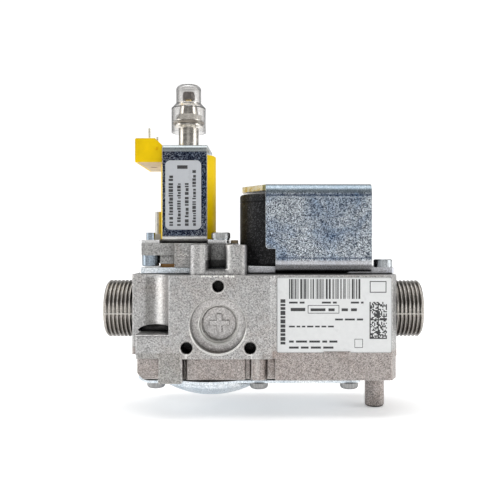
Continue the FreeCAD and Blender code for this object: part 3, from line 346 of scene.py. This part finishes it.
def moulded(name, tone, roughness, grain, strength, depth=0.00008, **sockets):
    s = Shader(name, tone, roughness=roughness, **sockets)
    fine, cloud = s.noise(grain, 3, 0.6), s.noise(90, 3)
    dark, light = [c * 0.86 for c in tone], [min(1, c * 1.1) for c in tone]
    s.set("Base Color", s.mix(dark, light, s.grey(cloud, 0, 1)))
    s.set("Roughness", s.grey(fine, roughness * 0.8, min(1, roughness * 1.25)))
    return s.bump(fine, strength, depth, soft=0.0002)


def black_housing():
    s = Shader("grained_black", (0.012, 0.012, 0.013), roughness=0.5, Specular_IOR_Level=0.22)
    fine, flecks = s.noise(2600, 3, 0.7), s.cells(2600)
    s.set("Base Color", s.mix([0.004, 0.004, 0.005], [0.07, 0.07, 0.075], s.grey(flecks, 0, 1, 0.6, 0.9)))
    s.set("Roughness", s.grey(fine, 0.32, 0.6))
    return s.bump(s.mix(fine, flecks, 0.5), 0.6, 0.00016, soft=0.0006)


def wound_copper():
    s = Shader("wound_copper", (0.62, 0.26, 0.12), metallic=1.0, roughness=0.3)
    turns = s.nodes.new("ShaderNodeTexWave")
    turns.bands_direction = "Z"
    turns.inputs["Scale"].default_value = 1400
    s.links.new(s.coord, turns.inputs["Vector"])
    s.set("Base Color", s.mix([0.45, 0.16, 0.07], [0.75, 0.36, 0.17], turns.outputs["Fac"]))
    return s.bump(turns.outputs["Fac"], 0.6, 0.0001)


def clear_moulding():
    s = Shader("clear_moulding", (0.95, 0.95, 0.95), roughness=0.1, Transmission_Weight=1.0, IOR=1.32)
    s.set("Base Color", s.mix([0.84, 0.83, 0.82], [0.91, 0.90, 0.89], s.grey(s.noise(300, 3), 0, 1)))
    s.set("Roughness", s.grey(s.noise(260, 3), 0.06, 0.2))
    return s.bump(s.noise(180, 2), 0.15, 0.0001)


def near_white_metal(name, tone):
    """Near-white metal of the raised casting marks and of the painted highlights under the blank's rims."""
    s = Shader(name, tone, metallic=0.35, roughness=0.4)
    s.set("Base Color", s.mix([c * 0.8 for c in tone], tone, s.grey(s.noise(1800, 3), 0, 1, 0.4, 0.6)))
    s.set("Roughness", s.grey(s.noise(900, 3), 0.3, 0.5))
    return s.bump(s.noise(2200, 3), 0.4, 0.00006)


def film(name, tone):
    s = Shader(name, tone, roughness=0.32, Coat_Weight=0.25, Coat_Roughness=0.15)
    s.set("Base Color", s.mix([c * 0.95 for c in tone], tone, s.grey(s.noise(500, 4), 0, 1)))
    s.set("Roughness", s.grey(s.noise(160, 3), 0.26, 0.42))
    return s.bump(s.noise(1400, 2), 0.08, 0.00004)


def ink(name, tone):
    s = Shader(name, tone, roughness=0.4)
    s.set("Base Color", s.mix(tone, [min(1, c + 0.05) for c in tone], s.grey(s.noise(2600, 2), 0, 1)))
    return s.bump(s.noise(3000, 2), 0.1, 0.00002)


MOUNTS = {mount["name"]: mount for mount in frame["record"]["mounts"]}
PORT_LEN = 0.0133  # how far in from its face each port looks turned
WINDOW_X, WINDOW_Y = (0.0470, 0.0560), (-0.0240, 0.0)  # the gap between the two front posts
# heights of the painted shade in that gap: darker low, lighter high
WINDOW_LOW, WINDOW_HIGH = (0.0172, 0.0235), (0.0230, 0.0310)
BLANK = (52.8, -5.1)  # centre of the front blank, in millimetres


def front_holes():
    """X and Z of the three screw holes in the front."""
    top, low = MOUNTS["front_top_hole"]["pos_m"], MOUNTS["front_low_holes"]
    half = 0.5 * low["dims"]["spacing_x_mm"] * MM
    x, _, z = low["pos_m"]
    return (top[0], top[2]), (x - half, z), (x + half, z)


# a rim is its centre X and Z, its inner and outer radius, the Y it ends at and the strength of its paler tone
# and painted highlight
HOLE_RIM = (0.00252, 0.0032, -0.0263, 0.9)
BLANK_RIMS = ((0.0118, 0.0125, -0.0262, 0.6), (0.0077, 0.0088, -0.0180, 0.95), (0.0068, 0.0075, -0.0145, 0.3))
RIMS = [(x, z, *HOLE_RIM) for x, z in front_holes()]
RIMS += [(BLANK[0] * MM, BLANK[1] * MM, *rim) for rim in BLANK_RIMS]

# a strip, painted light where paler and painted shade where darker, is its X range and softness, its Z and Y
# ranges, and its tone, blend mode and share
SCOOP = (-0.0082, 0.0155, -0.0262, -0.005)
SKIRT = (-0.0285, -0.0165, -0.05, 0.0)
LEDGE = (-0.0310, -0.0165, -0.05, -0.0262)
POST = (0.0172, 0.0310, -0.0300, -0.0150)
STRIPS = (
    (0.0186, 0.0246, 0.0014, *SCOOP, 0.50, "MULTIPLY", 0.75),
    (0.0244, 0.0284, 0.0014, *SCOOP, 0.90, "MIX", 0.4),
    (0.0389, 0.0396, 0.0002, *SKIRT, 0.92, "MIX", 0.6),
    (0.0670, 0.0677, 0.0002, *SKIRT, 0.92, "MIX", 0.6),
    (0.0682, 0.0712, 0.0014, *SKIRT, 0.80, "MIX", 0.3),
    (0.0714, 0.0738, 0.0010, *SKIRT, 0.62, "MULTIPLY", 0.6),
    (0.0180, 0.0372, 0.0006, *LEDGE, 0.78, "MULTIPLY", 0.9),
    (0.0444, 0.0470, 0.0012, *POST, 0.85, "MIX", 0.4),
    (0.0560, 0.0590, 0.0012, *POST, 0.85, "MIX", 0.4),
    (0.0380, 0.0406, 0.0012, *POST, 0.55, "MULTIPLY", 0.6),
    (0.0618, 0.0650, 0.0014, *POST, 0.55, "MULTIPLY", 0.6),
)
YOKE_LOW, YOKE_TOP = (corner[2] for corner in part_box("yoke_frame"))
BRACKET_LOW, BRACKET_TOP = (corner[2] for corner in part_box("modulator_bracket"))
BRACKET_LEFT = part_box("modulator_bracket")[0][0]
# painted light and shade along the yoke's and bracket's bends, as height ranges
YOKE_LIGHT_BANDS = ((YOKE_TOP - 0.0046, YOKE_TOP + 0.001, 0.0009, [0.28, 0.34, 0.38]),
              (YOKE_TOP - 0.0058, YOKE_TOP - 0.0048, 0.0003, [0.02, 0.04, 0.09]),
              (YOKE_TOP - 0.0066, YOKE_TOP - 0.0059, 0.0003, [0.42, 0.48, 0.54]),
              (YOKE_LOW + 0.0064, YOKE_LOW + 0.0073, 0.0003, [0.06, 0.08, 0.13]),
              (YOKE_LOW - 0.001, YOKE_LOW + 0.0062, 0.0009, [0.62, 0.61, 0.63]))
BRACKET_LIGHT_BANDS = ((BRACKET_TOP - 0.0036, BRACKET_TOP + 0.001, 0.0009, [0.55, 0.60, 0.60]),
                 (BRACKET_LOW - 0.001, BRACKET_LOW + 0.0035, 0.0009, [0.95, 0.94, 0.92]))

LOOKS = {
    "cast_body": cast_metal("blasted_casting", (0.424, 0.420, 0.416), threads=True),
    "cast_housing": cast_metal("bright_casting", (0.37, 0.367, 0.36)),
    "zinc_plate": zinc_sheet("zinc_cover", (0.54, 0.58, 0.61), (0.92, 0.95, 0.97), (0.2, 0.36), 2200,
                             stain=(0.72, 0.79, 0.86)),
    "zinc_yoke": zinc_sheet("zinc_yoke", (0.02, 0.03, 0.055), (0.88, 0.95, 1.0), fleck=2300, bands=YOKE_LIGHT_BANDS,
                            share=(0.36, 0.74), stain=(0.36, 0.47, 0.64), corner=0.0722),
    "zinc_bracket": zinc_sheet("zinc_bracket", (0.006, 0.009, 0.026), (0.66, 0.72, 0.80), fleck=2700,
                               bands=BRACKET_LIGHT_BANDS, share=(0.55, 1.0), left=BRACKET_LEFT),
    "zinc_screw": turned_metal("zinc_screw", (0.52, 0.55, 0.57), 0.26, knurl=0.4),
    "steel": turned_metal("turned_steel", (0.72, 0.69, 0.64), 0.24),
    "black_steel": turned_metal("blackened_steel", (0.24, 0.22, 0.21), 0.36),
    "nickel": turned_metal("nickel_plate", (0.80, 0.77, 0.71), 0.14),
    "nickel_brass": turned_metal("nickel_brass", (0.80, 0.77, 0.71), 0.28),
    "spring_steel": turned_metal("spring_wire", (0.6, 0.61, 0.63), 0.28),
    "brass": turned_metal("turned_brass", (0.80, 0.62, 0.30), 0.25),
    "tinned_pin": turned_metal("tinned_pin", (0.72, 0.68, 0.56), 0.28),
    "copper": wound_copper(),
    "black_plastic": black_housing(),
    "yellow_plastic": moulded("yellow_moulding", (0.84, 0.56, 0.0), 0.42, 1500, 0.2, Specular_IOR_Level=0.14),
    "tan_plastic": moulded("tan_laminate", (0.50, 0.39, 0.24), 0.6, 1800, 0.35),
    "black_rubber": moulded("black_rubber", (0.02, 0.02, 0.02), 0.7, 1700, 0.3),
    "orange_rubber": moulded("orange_sheet", (0.48, 0.25, 0.09), 0.75, 1300, 0.6, 0.0002),
    "brown_rubber": moulded("brown_ring", (0.45, 0.40, 0.34), 0.5, 1500, 0.2),
    "clear_plastic": clear_moulding(),
    "label_white": film("white_film", (0.80, 0.81, 0.81)),
    "label_grey": film("grey_film", (0.52, 0.54, 0.57)),
}
INK = ink("black_ink", (0.018, 0.018, 0.02))

SLOTS = {part["node"]: part["material_slot"] for part in frame["record"]["subparts"]}
OWN_LOOKS = {
    # a lighter copy of the yellow moulding: painted light against the bracket's shade on the coil
    "modulator_coil": moulded("coil_yellow", (0.92, 0.62, 0.0), 0.42, 1500, 0.2, Specular_IOR_Level=0.14),
    "bottom_cover_screws": turned_metal("dull_screw", (0.40, 0.40, 0.40), 0.36, knurl=0.4),
    "right_clamp_screw": turned_metal("grey_screw", (0.50, 0.51, 0.51), 0.3, knurl=0.4),
    "left_clamp_screw": turned_metal("blue_screw", (0.34, 0.40, 0.46), 0.2, knurl=0.5),
    "modulator_guide_tube": turned_metal("bright_stem", (0.60, 0.57, 0.52), 0.2),
    "reference_nipple": turned_metal("dull_tube", (0.52, 0.50, 0.45), 0.36),
}
for node, obj in frame["nodes"].items():
    look = OWN_LOOKS.get(node, LOOKS[SLOTS[node]]).material
    if not obj.material_slots:
        obj.data.materials.append(look)
    for entry in obj.material_slots:
        entry.material = look


# ---- springs and diaphragms: copies in place of the nodes, the spring in two halves --------------
def part_of(mesh, low, high):
    """Keeps what lies between two heights and closes the cuts."""
    bm = bmesh.new()
    bm.from_mesh(mesh)
    for z, outer in ((low, False), (high, True)):
        cut = bmesh.ops.bisect_plane(bm, geom=bm.verts[:] + bm.edges[:] + bm.faces[:], plane_co=(0, 0, z),
                                     plane_no=(0, 0, 1), clear_inner=not outer, clear_outer=outer)["geom_cut"]
        bmesh.ops.holes_fill(bm, edges=[e for e in cut if isinstance(e, bmesh.types.BMEdge)])
    bm.to_mesh(mesh)
    bm.free()


def flexing(node, name, kept=None):
    """A copy of the node, cut between two heights when kept is given, in place of the node, which is hidden.
    """
    source = frame["nodes"][node]
    mesh = source.data.copy()
    mesh.transform(source.matrix_world)
    if kept:
        part_of(mesh, *kept)
    obj = bpy.data.objects.new(name, mesh)
    bpy.context.scene.collection.objects.link(obj)
    for entry in obj.material_slots:
        entry.material = LOOKS[SLOTS[node]].material
    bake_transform(obj)
    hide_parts(node)


for joint in frame["record"]["behaviour"]["joints"]:
    for entry in joint.get("deforming_nodes", ()):
        node, still = entry["node"], entry["fixed_end_z_m"]
        low, high = (corner[2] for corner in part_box(node))
        if node == "modulator_spring":
            half = 0.5 * (low + high)
            flexing(node, node + "_lower", (low - MM, half))
            flexing(node, node + "_upper", (half, high + MM))
        else:
            flexing(node, node + "_flexing")


# ---- printed labels ------------------------------------------------------------------------------
def built(name, mesh_builder, look):
    bm = bmesh.new()
    mesh_builder(bm)
    mesh = bpy.data.meshes.new(name)
    bm.to_mesh(mesh)
    bm.free()
    obj = bpy.data.objects.new(name, mesh)
    bpy.context.scene.collection.objects.link(obj)
    mesh.materials.append(look.material)
    return obj


def piece(name, mesh_builder, look, body):
    obj = built(name, mesh_builder, look)
    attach(obj, body)
    return obj


def millimetres(node):
    """The two corners of the node's box."""
    return [[c / MM for c in corner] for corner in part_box(node)]


def patch(bm, y, x0, x1, z0, z1):
    """A printed patch that faces -Y, in millimetres."""
    corners = [(x0, z0), (x1, z0), (x1, z1), (x0, z1)]
    bm.faces.new([bm.verts.new((x * MM, y * MM, z * MM)) for x, z in corners])


PRINT_LIFT = 0.03  # the ink stands this far in front of its label


def dashes(bm, y, x0, x1, z, height, words):
    """A row of generic word-length dashes between x0 and x1."""
    x = x0
    for _ in range(words):
        if x >= x1 - height:
            break
        end = min(x1, x + rng.uniform(2.0, 5.5) * height)
        patch(bm, y, x, end, z, z + height)
        x = end + height * 1.1


def frame_lines(bm, y, x0, x1, z0, z1, wide):
    for left, right, low, high in ((x0, x1, z0, z0 + wide), (x0, x1, z1 - wide, z1),
                                   (x0, x0 + wide, z0 + wide, z1 - wide),
                                   (x1 - wide, x1, z0 + wide, z1 - wide)):
        patch(bm, y, left, right, low, high)


def rating_print(bm):
    """Bar code, square code, plain ruled lines in place of words, and a boxed field."""
    (left, front, bottom), (right, _, top) = millimetres("rating_label")
    y = front - PRINT_LIFT
    x = left + 5.3
    while x < left + 36.6:
        bar = rng.choice((0.25, 0.25, 0.5, 0.8))
        patch(bm, y, x, x + bar, top - 9.3, top - 0.7)
        x += bar + rng.choice((0.3, 0.3, 0.5, 0.8))
    cell = 0.5
    for row in range(32):
        for column in range(15):
            if column in (0, 7) or row in (0, 16) or rng.random() < 0.5:
                x, z = left + 40.1 + column * cell, top - 26.6 + row * cell
                patch(bm, y, x, x + cell, z, z + cell)
    for x0, x1, drop, height, words in (
            (5.3, 12.0, 11.3, 0.8, 2), (19.5, 26.0, 11.3, 0.8, 2), (32.0, 37.5, 11.3, 0.8, 2),
            (6.0, 12.4, 14.6, 1.4, 2), (14.6, 25.0, 14.6, 1.2, 3), (28.0, 36.0, 14.6, 1.2, 3),
            (25.2, 37.8, 18.6, 0.8, 4), (5.3, 27.0, 21.6, 0.7, 7), (5.3, 28.0, 28.2, 0.9, 7),
            (5.3, 24.5, 30.8, 0.9, 6)):
        dashes(bm, y, left + x0, left + x1, top - drop, height, words)
    frame_lines(bm, y, left + 13.4, left + 27.0, top - 15.6, top - 12.0, 0.25)
    frame_lines(bm, y, left + 33.6, left + 37.2, top - 30.4, top - 26.6, 0.22)
    frame_lines(bm, y, left + 40.2, left + 47.4, top - 6.6, top - 1.6, 0.35)
    frame_lines(bm, y, left + 0.15, right - 0.15, bottom + 0.15, top - 0.15, 0.12)
    z = bottom + 3.6
    while z < bottom + 23.0:
        end = z + rng.uniform(0.9, 1.9)
        patch(bm, y, left + 1.6, left + 3.7, z, end)
        z = end + 0.45


def bracket_print(bm):
    """Four upright rows of plain marks under a short one."""
    (left, front, bottom), _ = millimetres("bracket_label")
    y = front - PRINT_LIFT
    for x0, x1, reach in ((1.5, 3.5, 25.4), (5.4, 7.0, 20.8), (8.9, 10.6, 20.8), (12.3, 13.9, 27.0)):
        z = bottom + 1.7
        while z < bottom + reach:
            end = z + rng.uniform(0.55, 1.5)
            inset = rng.choice((0.0, 0.0, 0.35))
            patch(bm, y, left + x0 + inset, left + x1, z, end)
            z = end + rng.choice((0.35, 0.35, 0.9))
    dashes(bm, y, left + 5.4, left + 11.4, bottom + 27.6, 1.6, 4)


piece("rating_label_print", rating_print, INK, "valve")
piece("bracket_label_print", bracket_print, INK, "valve")


# ---- small marks of casting and moulding, painted highlights and painted shade -------------------
def chip(bm, x, y, z, wide, tall, proud):
    """A ragged raised flake on a face that looks towards -Y, in millimetres."""
    sides = 9
    rim, top = [], []
    for k in range(sides):
        a = 2 * math.pi * k / sides
        reach = rng.uniform(0.7, 1.1)
        dx, dz = 0.5 * wide * reach * math.cos(a), 0.5 * tall * reach * math.sin(a)
        rim.append(bm.verts.new(((x + dx) * MM, y * MM, (z + dz) * MM)))
        peak = y - proud * rng.uniform(0.7, 1)
        top.append(bm.verts.new(((x + 0.55 * dx) * MM, peak * MM, (z + 0.55 * dz) * MM)))
    for k in range(sides):
        n = (k + 1) % sides
        bm.faces.new((rim[k], rim[n], top[n], top[k]))
    bm.faces.new(top)


def casting_flash(bm):
    """Ragged flash on the front block's top edge, along the sill between the posts."""
    x, y, z = 46.0, FRONT_Y, BODY_TOP_Z - 0.35
    while x < 60.0:
        wide = rng.uniform(0.7, 1.7)
        chip(bm, x, y, z + rng.uniform(-0.2, 0.1), wide, rng.uniform(0.7, 1.1), 0.25)
        x += wide * rng.uniform(0.8, 1.1)


def block_mark(bm):
    """Small worn casting mark on the regulator block."""
    x, y, z = 34.6, REG_Y, 25.2
    for k in range(7):
        chip(bm, x + k * 0.68, y, z + (0.25 if k % 3 else -0.2), 0.75, 0.55, 0.22)


def rim_highlight_sliver(bm, radius, y, wide, start, end):
    """Painted highlight: a raised near-white sliver round the lower edge of a step of the blank, widest in
    its middle, in millimetres.
    """
    count, rows = 72, []
    for k in range(count + 1):
        a = math.radians(start + (end - start) * k / count)
        w = wide * (0.12 + math.sin(math.pi * k / count) ** 0.7) * rng.uniform(0.85, 1.1)
        row = []
        for r, at in ((radius, y + 0.03), (radius + w, y - 0.45 * w), (radius + w + 0.12, y + 0.03)):
            x, z = BLANK[0] + r * math.cos(a), BLANK[1] + r * math.sin(a)
            row.append(bm.verts.new((x * MM, at * MM, z * MM)))
        rows.append(row)
    for near, far in zip(rows, rows[1:]):
        for k in (0, 1):
            bm.faces.new((near[k], far[k], far[k + 1], near[k + 1]))


def blank_rim_highlights(bm):
    rim_highlight_sliver(bm, 12.25, -27.0, 0.5, 196, 352)
    rim_highlight_sliver(bm, 8.5, -21.4, 0.75, 150, 372)
    rim_highlight_sliver(bm, 7.75, -18.4, 0.3, 215, 330)


def slot_shade_disc(bm):
    """Painted shade: a dark amber disc at the floor of the keying slot under the terminal insert."""
    z = millimetres("terminal_insert")[0][2] - 0.02
    sides, ring = 20, []
    for k in range(sides):
        a = 2 * math.pi * k / sides
        x, y = SLOT_MIDDLE[0] + SLOT_HALF[0] * math.cos(a), SLOT_MIDDLE[1] + SLOT_HALF[1] * math.sin(a)
        ring.append(bm.verts.new((x * MM, y * MM, z * MM)))
    bm.faces.new(ring)


FRONT_Y, BODY_TOP_Z, REG_Y = -27.0, 16.5, -15.6  # front block, body's top and regulator block, in millimetres
SLOT_MIDDLE, SLOT_HALF = (18.9, 13.0), (1.7, 1.3)  # X and Y, in millimetres
FLAKE = near_white_metal("casting_flake", (0.97, 0.96, 0.92))
# painted shade for the slot under the terminal insert
SLOT_SHADE = moulded("slot_amber", (0.10, 0.03, 0.004), 0.6, 1500, 0.3)
piece("casting_flash", casting_flash, FLAKE, "valve")
# painted highlights under the blank's rims
piece("blank_edge_burrs", blank_rim_highlights, FLAKE, "valve")
piece("block_casting_mark", block_mark, FLAKE, "valve")
piece("insert_slot_floor", slot_shade_disc, SLOT_SHADE, "valve")


# ---- studio --------------------------------------------------------------------------------------
def plain(name, color, **sockets):
    s = Shader(name, color, roughness=0.9, **sockets)
    s.set("Base Color", s.mix([c * 0.985 for c in color], color, s.grey(s.noise(3, 2), 0, 1)))
    return s


def floor_plane(bm):
    low, reach = CAD_BOX[0][2], 9.0
    corners = ((-reach, -reach), (reach, -reach), (reach, reach), (-reach, reach))
    bm.faces.new([bm.verts.new((x, y, low)) for x, y in corners])


def studio_floor():
    glow = {"Emission_Color": (1, 1, 1, 1), "Emission_Strength": 0.3}
    built("studio_floor", floor_plane, plain("studio_white", (0.95, 0.95, 0.95), **glow))


def lamp(name, place, aim, size, watts, color=(1, 1, 1)):
    light = bpy.data.lights.new(name, "AREA")
    light.shape = "RECTANGLE"
    light.size, light.size_y = size
    light.energy = watts
    light.color = color
    obj = bpy.data.objects.new(name, light)
    obj.location = place
    obj.rotation_euler = (Vector(aim) - Vector(place)).to_track_quat("-Z", "Y").to_euler()
    bpy.context.scene.collection.objects.link(obj)


def sun(name, heading, strength, angle):
    light = bpy.data.lights.new(name, "SUN")
    light.energy, light.angle = strength, angle
    obj = bpy.data.objects.new(name, light)
    obj.rotation_euler = Vector(heading).to_track_quat("-Z", "Y").to_euler()
    bpy.context.scene.collection.objects.link(obj)


def sky():
    """White for the camera. For light, bright banks beside and above, with darker flags between them."""
    world = bpy.data.worlds.new("studio_sky")
    bpy.context.scene.world = world
    world.use_nodes = True
    nodes, links = world.node_tree.nodes, world.node_tree.links
    coord = nodes.new("ShaderNodeTexCoord")
    front = nodes.new("ShaderNodeVectorMath")
    front.operation = "DOT_PRODUCT"
    front.inputs[1].default_value = (0.0, -0.985, 0.17)
    links.new(coord.outputs["Generated"], front.inputs[0])
    half = nodes.new("ShaderNodeMath")
    half.operation = "MULTIPLY_ADD"
    half.inputs[1].default_value, half.inputs[2].default_value = 0.5, 0.5
    links.new(front.outputs["Value"], half.inputs[0])
    ramp = nodes.new("ShaderNodeValToRGB")
    stops = ((0.0, 1.0), (0.035, 1.0), (0.08, 0.3), (0.26, 0.35), (0.38, 1.25), (0.66, 1.25), (0.80, 0.3),
             (0.97, 0.25), (0.993, 0.7), (1.0, 0.7))
    elements = ramp.color_ramp.elements
    while len(elements) < len(stops):
        elements.new(0.5)
    for element, (at, grey) in zip(elements, stops):
        element.position = at
        element.color = (grey, grey, grey, 1.0)
    links.new(half.outputs[0], ramp.inputs["Fac"])
    seen = nodes.new("ShaderNodeLightPath")
    white = nodes.new("ShaderNodeMix")
    white.data_type = "RGBA"
    links.new(seen.outputs["Is Camera Ray"], white.inputs["Factor"])
    links.new(ramp.outputs["Color"], white.inputs["A"])
    white.inputs["B"].default_value = (1.1, 1.1, 1.1, 1.0)
    links.new(white.outputs["Result"], nodes["Background"].inputs["Color"])


def camera():
    data = bpy.data.cameras.new("camera")
    data.sensor_width = 36.0
    data.lens = 47.52
    data.shift_x, data.shift_y = -0.03, -0.01
    obj = bpy.data.objects.new("camera", data)
    obj.location = (0.0731, -0.310, 0.0296)
    obj.rotation_euler = (math.radians(90), 0, 0)
    bpy.context.scene.collection.objects.link(obj)
    bpy.context.scene.camera = obj


MIDDLE = (0.072, 0.0, 0.03)
studio_floor()
sky()
camera()
lamp("left_bank", (-0.65, -0.12, 0.20), MIDDLE, (0.3, 0.6), 1.0)
lamp("right_bank", (0.85, -0.16, 0.20), MIDDLE, (0.3, 0.6), 1.4)
sun("overhead", (0.1, 0.0, -1.0), 0.8, 0.9)
bpy.context.scene.view_settings.view_transform = "Standard"
